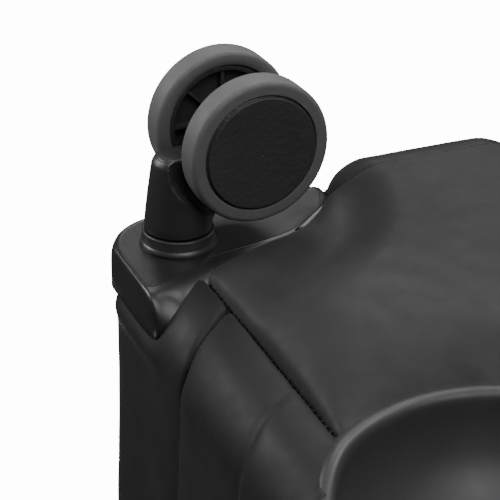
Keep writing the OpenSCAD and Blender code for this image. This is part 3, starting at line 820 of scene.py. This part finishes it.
def fork_inside(x, b, u):
    """True inside the fork at caster frame points in mm (b trails, u below the plateau)."""
    lip = np.clip((u - 35.4) / 4.2, 0, 1)
    radius = np.interp(u, [7.6, 11.7, 17, 23.6, 30, 35.3, 39.6], [13.9, 13.8, 13.2, 12.4, 11.5, 10.7, 10.2])
    radius = radius - 3.0 * (1 - np.sqrt(1 - lip ** 2))
    column = (np.hypot(x, b) < radius) & (u < FORK_TOP)
    scoop = (np.abs(x) > WEB / 2) & (np.hypot(b - TRAIL / MM, u - AXLE_H / MM) < WHEEL_R / MM + 3)
    end = np.where(u > 35, TRAIL / MM + 8.6, np.interp(u, [9, 35], [11, TRAIL / MM + 6]))
    web = (np.abs(x) < WEB / 2) & (b > 0) & (b < end) & (u < FORK_TOP)
    return (column & ~scoop) | web


def fork_body(place):
    """Tapered column with a rounded ledge, scooped round the tyres, running into the web."""
    levels = np.concatenate([np.linspace(7.7, 32.5, 34), np.linspace(33, FORK_TOP + 0.4, 30)])
    angles = np.linspace(0, 2 * math.pi, 168, endpoint=False)
    steps = np.linspace(0, 42, 421)
    reach = np.zeros((len(levels), len(angles)))
    dx, db = np.sin(angles)[:, None] * steps, np.cos(angles)[:, None] * steps
    for i, u in enumerate(levels):
        inside = fork_inside(dx, db, np.full_like(dx, min(u, FORK_TOP - 0.05)))
        outside = np.where(inside.all(axis=1), len(steps) - 1, np.argmin(inside, axis=1))
        reach[i] = steps[outside]
    for _ in range(3):
        reach = 0.5 * reach + 0.25 * (np.roll(reach, 1, 1) + np.roll(reach, -1, 1))
    for _ in range(2):
        reach[1:-1] = 0.5 * reach[1:-1] + 0.25 * (reach[:-2] + reach[2:])
    fade = np.ones(len(levels))
    fade[-3:] = (0.985, 0.95, 0.86)
    levels[-3:] = FORK_TOP + np.array([0.15, 0.32, 0.4])
    verts = []
    for i, u in enumerate(levels):
        r = reach[i] * fade[i]
        verts += [place(Vector((r[j] * math.sin(t) * MM, r[j] * math.cos(t) * MM, u * MM)))
                  for j, t in enumerate(angles)]
    faces = grid_faces(len(levels), len(angles), closed=True)
    close_ends(verts, faces, len(angles), place(Vector((0, 0, levels[0] * MM))),
               place(Vector((0, 0, levels[-1] * MM))))
    return verts, faces


def casters():
    """Tyres, hubs, ribs, column, boss and stem of each caster; its axle is the CAD's."""
    for key, (sx, sy) in CORNERS.items():
        name = "caster_" + key
        for word, side in (("out", 1), ("in", -1)):
            place = wheel_place(sx, sy, side)
            body = f"{name}_wheel_{word}"
            verts, faces = lathe(tyre_profile(), 128, place)
            piece(f"{name}_tread_{word}", verts, faces, body, "tyre", (f"{name}_tyre_{word}",), "tyre")
            verts, faces = lathe(hub_profile(), 128, place)
            piece(f"{name}_disc_{word}", verts, faces, body, "cap", (f"{name}_hub_{word}",), "caster")
            piece(f"{name}_ribs_{word}", *joined(spokes(place)), body, "caster", (), "caster", smooth=False)
        place = caster_place(sx, sy)
        piece(name + "_column", *fork_body(place), name, "caster", (name + "_fork",), "caster")
        boss = [(3.15, -6.4), (8.4, -6.4)] + arc(8.4, -5.8, 0.6, -80, 0, 3) + arc(8.4, 5.8, 0.6, 0, 80, 3)
        boss += [(8.4, 6.4), (3.15, 6.4)]
        at_axle = lambda p: place(Vector((p.z, TRAIL + p.x, AXLE_H + p.y)))
        piece(name + "_boss", *lathe(in_metres(boss), 64, at_axle), name, "caster", (),
              "caster")
        stem = [(0.1, -24), (4.3, -24), (4.9, -23.2), (4.9, 8.2), (0.1, 8.2)]
        piece(name + "_stem", *lathe(in_metres(stem), 40, place), name, "steel", (), "steel")
        dress(name + "_axle", "steel")


# ---------------------------------------------------------------- padded lid, piping and zip
LID_LO, LID_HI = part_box("lid")


def lid_outline():
    """Plan of the lid, starting at the rear left corner and running round the front."""
    r, x, front, back, per = EDGE_R, FAB_X, LID_LO.y, LID_HI.y, 26
    turn = np.linspace(0, math.pi / 2, 14)[:-1]
    pts = [(-x, v) for v in np.linspace(back, front + r, per, endpoint=False)]
    pts += [(-x + r - r * math.cos(t), front + r - r * math.sin(t)) for t in turn]
    pts += [(v, front) for v in np.linspace(-x + r, x - r, per * 2, endpoint=False)]
    pts += [(x - r + r * math.sin(t), front + r - r * math.cos(t)) for t in turn]
    pts += [(x, v) for v in np.linspace(front + r, back, per)]
    return pts


def even_path(pts, step):
    """Points at even steps along a path, with the direction at each."""
    pts = np.array(pts)
    run = np.concatenate([[0], np.cumsum(np.hypot(*np.diff(pts, axis=0).T))])
    at = np.arange(step, run[-1] - step, step)
    x, y = np.interp(at, run, pts[:, 0]), np.interp(at, run, pts[:, 1])
    x2, y2 = np.interp(at + step * 0.4, run, pts[:, 0]), np.interp(at + step * 0.4, run, pts[:, 1])
    return [(Vector((a, b, 0)), Vector((c - a, d - b, 0)).normalized()) for a, b, c, d in zip(x, y, x2, y2)]


def small_box(spot, along, size, up=Vector((0, 0, 1))):
    """Small block: size is (along, out, up)."""
    out = along.cross(up)
    verts = [spot + along * i * size[0] / 2 + out * j * size[1] / 2 + up * k * size[2] / 2
             for i in (-1, 1) for j in (-1, 1) for k in (-1, 1)]
    return verts, [(0, 1, 3, 2), (4, 6, 7, 5), (0, 4, 5, 1), (2, 3, 7, 6), (0, 2, 6, 4), (1, 5, 7, 3)]


def lid_pad(path):
    """The padded lid, a stack of rings drawn in towards its middle."""
    loop = path + [(v, LID_HI.y) for v in np.linspace(FAB_X, -FAB_X, 60)[1:-1]]
    centre = Vector((0, (LID_LO.y + LID_HI.y) / 2, 0))
    top, low = LID_HI.z, LID_LO.z
    steps = [(14, low + 0.0006), (2, low + 0.0002), (0.5, low + 0.0009), (0, low + 0.003), (0, top - 0.011),
             (0.4, top - 0.0075), (1.5, top - 0.0044), (3.4, top - 0.0021), (6, top - 0.0007), (9.5, top),
             (16, top + 0.0004), (28, top + 0.0009), (50, top + 0.0013), (90, top + 0.0015)]
    verts = []
    for inset, z in steps:
        for x, y in loop:
            flat = Vector((x, y, 0)) - centre
            p = centre + flat * max(0.02, 1 - inset * MM / flat.length)
            crease = 0.0005 * noise.noise(Vector((p.x * 14, p.y * 14, 3))) if inset > 3 else 0
            verts.append((p.x, p.y, z + crease))
    faces = grid_faces(len(steps), len(loop), closed=True)
    close_ends(verts, faces, len(loop), (centre.x, centre.y, steps[0][1]),
               (centre.x, centre.y, steps[-1][1]))
    obj = piece("lid_cloth", verts, faces, "lid", "cloth", ("lid",), "fabric",
                outward=(0, 0, (top + low) / 2))


def lid_piping(path):
    ring = [Vector((x * 0.9985, y * 0.998, LID_HI.z - 0.0045)) for x, y in path]
    piece("lid_piping", *tube(ring, 1.7 * MM), "lid", "webbing", (), "webbing")


def zip_teeth(teeth):
    """One row of teeth on the lid and one on the case."""
    low = LID_LO.z
    for name, body, z in (("zip_lid", "lid", low - 0.0002), ("zip_case", "case", low - 0.0021)):
        parts = []
        for spot, along in teeth:
            out = Vector((along.y, -along.x, 0))
            parts.append(small_box(spot + out * -0.0006 + Vector((0, 0, z)), along, (0.0013, 0.0022, 0.0012)))
        piece(name, *joined(parts), body, "caster", (), None, smooth=False)


def lid_stitches(path):
    """Two rows of stitches just inside the lid's edge."""
    rows = []
    for inset in (0.0045, 0.0085):
        inner = [(x * (1 - inset / 0.23), y * (1 - inset / 0.14)) for x, y in path]
        for spot, along in even_path(inner, 0.0036):
            lift = 0.0004 - (0.0013 if inset < 0.006 else 0)
            rows.append(small_box(spot + Vector((0, 0, LID_HI.z + lift)), along, (0.0026, 0.0006, 0.0006)))
    piece("lid_stitches", *joined(rows), "lid", "thread", (), None, smooth=False)


def zip_pullers(teeth):
    low = LID_LO.z
    for side, (spot, along) in (("left", teeth[30]), ("right", teeth[-30])):
        out = Vector((along.y, -along.x, 0))
        parts = [small_box(spot + out * 0.0016 + Vector((0, 0, low - 0.0012)), along, (0.011, 0.003, 0.0075)),
                 small_box(spot + out * 0.0032 + Vector((0, 0, low - 0.013)), along, (0.006, 0.0012, 0.022))]
        soften(piece("zip_puller_" + side, *joined(parts), "case", "steel", (), None, smooth=False), 0.0006)


def lid():
    path = lid_outline()
    teeth = even_path(path, 0.0024)
    lid_pad(path)
    lid_piping(path)
    zip_teeth(teeth)
    lid_stitches(path)
    zip_pullers(teeth)


# ---------------------------------------------------------------- seams' stitching
THREAD = (0.0018, 0.0005, 0.0006)      # length, width and height of one stitch
SUNK = 0.0016                          # how deep the threads lie in the upright seams
CUP_CLEAR = 58 * MM                    # no bottom threads nearer the middle of the front than this


def gusset_threads(sx, sy):
    """Stitches up the gusset seam of one corner."""
    parts = []
    for climb in np.arange(0.004, 0.56, 0.0044):
        angle = max(math.pi / 2 - climb / EDGE_R, 0)
        z = ARC_Z - EDGE_R * math.sin(angle) + max(climb - EDGE_R * math.pi / 2, 0)
        reach = AXIS_Y + (EDGE_R - SUNK) * math.cos(angle)
        normal = Vector((0, sy * math.cos(angle), -math.sin(angle)))
        spot = Vector((sx * (STEM_X - float(gusset_at(climb))), sy * reach, z + SUNK * math.sin(angle)))
        parts.append(small_box(spot + normal * 0.0002, Vector((1, 0, 0)), THREAD, normal))
    return parts


def seam_threads():
    """Short threads sunk in the seams of the front and back walls."""
    parts = []
    for sy in (-1, 1):
        parts += gusset_threads(-1, sy) + gusset_threads(1, sy)
        for x in np.arange(-0.178, 0.179, 0.0036):
            if sy > 0 or abs(x) >= CUP_CLEAR:
                spot = Vector((x, sy * AXIS_Y, FAB_Z + 0.0011))
                parts.append(small_box(spot, Vector((0, 1, 0)), THREAD))
    piece("seam_threads", *joined(parts), "case", "thread", (), None, smooth=False)


# ---------------------------------------------------------------- carried-over CAD nodes
CARRIED = {
    "base_frame": "alu", "battery": "inner", "launcher_frame": "alu", "launch_tube": "inner",
    "port_ring": "guard", "feed_chute": "inner",
    "throw_motors": "motor", "throw_wheel_upper": "throw", "throw_wheel_lower": "throw",
    "throw_shaft_upper": "steel", "throw_shaft_lower": "steel", "hopper": "inner", "hopper_floor": "inner",
    "feeder_motor": "motor", "feeder_disc": "disc", "back_glides": "guard", "control_panel": "inner",
    "speed_knob": "knob", "feed_knob": "knob", "power_switch": "switch", "handle_tray": "guard",
    "handle_sleeves": "alu", "handle_tube_left": "alu", "handle_tube_right": "alu", "handle_grip": "inner",
    "handle_button": "knob", "lid_strap": "webbing",
}


def carried_over():
    for node, mat in CARRIED.items():
        dress(node, mat)


# ---------------------------------------------------------------- stage
def pale_floor():
    """Pale and dull from above, clear from below."""
    n = Nodes("floor_pale")
    n.bsdf.inputs["Base Color"].default_value = (0.82, 0.82, 0.82, 1)
    n.link(n.spread(n.noise(3), 0.7, 0.8), n.bsdf.inputs["Roughness"])
    geo = n.tree.nodes.new("ShaderNodeNewGeometry")
    clear = n.tree.nodes.new("ShaderNodeBsdfTransparent")
    mix = n.tree.nodes.new("ShaderNodeMixShader")
    n.link(geo.outputs["Backfacing"], mix.inputs[0])
    n.link(n.bsdf.outputs[0], mix.inputs[1])
    n.link(clear.outputs[0], mix.inputs[2])
    n.link(mix.outputs[0], n.out.inputs[0])
    return n.mat


def stage():
    mesh = bpy.data.meshes.new("floor")
    s = 6.0
    mesh.from_pydata([(-s, -s, 0), (s, -s, 0), (s, s, 0), (-s, s, 0)], [], [(0, 1, 2, 3)])
    floor = bpy.data.objects.new("floor", mesh)
    bpy.context.scene.collection.objects.link(floor)
    mesh.materials.append(pale_floor())
    floor.visible_shadow = floor.visible_glossy = floor.visible_diffuse = floor.visible_transmission = False
    world = bpy.data.worlds.new("world")
    bpy.context.scene.world = world
    world.use_nodes = True
    tree = world.node_tree
    tree.nodes.clear()
    out = tree.nodes.new("ShaderNodeOutputWorld")
    seen, around = tree.nodes.new("ShaderNodeBackground"), tree.nodes.new("ShaderNodeBackground")
    seen.inputs[0].default_value = (1, 1, 1, 1)
    seen.inputs[1].default_value = 14.0
    around.inputs[0].default_value = (1, 1, 1, 1)
    around.inputs[1].default_value = 0.06
    path, mix = tree.nodes.new("ShaderNodeLightPath"), tree.nodes.new("ShaderNodeMixShader")
    tree.links.new(path.outputs["Is Camera Ray"], mix.inputs[0])
    tree.links.new(around.outputs[0], mix.inputs[1])
    tree.links.new(seen.outputs[0], mix.inputs[2])
    tree.links.new(mix.outputs[0], out.inputs[0])


def softbox(name, spot, aim, size, power):
    """Square soft light at a spot, aimed at a point."""
    data = bpy.data.lights.new(name, "AREA")
    data.shape, data.size, data.size_y, data.energy = "RECTANGLE", size, size, power
    lamp = bpy.data.objects.new(name, data)
    lamp.location = spot
    lamp.rotation_mode = "QUATERNION"
    lamp.rotation_quaternion = (Vector(aim) - Vector(spot)).to_track_quat("-Z", "Y")
    bpy.context.scene.collection.objects.link(lamp)


def lights():
    """Low lights round the pictured corner, soft ones above for the other views, and a wide sun."""
    corner = Vector((0.15, -0.1, 0.07))
    softbox("low_top", corner + Vector((0.22, 0.79, -0.9)), corner, 0.6, 9)
    softbox("low_side", corner + Vector((0.80, 0.36, -0.95)), corner, 0.5, 5)
    softbox("low_mid", corner + Vector((-0.25, -0.25, -1.1)), corner, 0.55, 3)
    softbox("low_near", (-0.5, -0.05, -0.64), (0.02, -0.09, 0.08), 0.7, 7)
    softbox("low_left", corner + Vector((0.42, -0.48, -0.36)), corner, 0.35, 4)
    softbox("key", (2.0, 0.6, 2.4), (0, 0, 0.4), 1.4, 80)
    softbox("rear", (-0.6, 2.4, 1.6), (0, 0, 0.35), 1.6, 60)
    softbox("fill", (-2.2, 0.3, 2.2), (0, 0, 0.5), 1.6, 50)
    softbox("front", (0.3, -2.2, 3.0), (0, 0, 0.5), 1.2, 12)
    data = bpy.data.lights.new("overhead", "SUN")
    data.energy, data.angle = 1.6, math.radians(50)
    bpy.context.scene.collection.objects.link(bpy.data.objects.new("overhead", data))


bottom_panel()
walls()
guards()
collars()
grab_cup()
casters()
lid()
seam_threads()
carried_over()
stage()
lights()
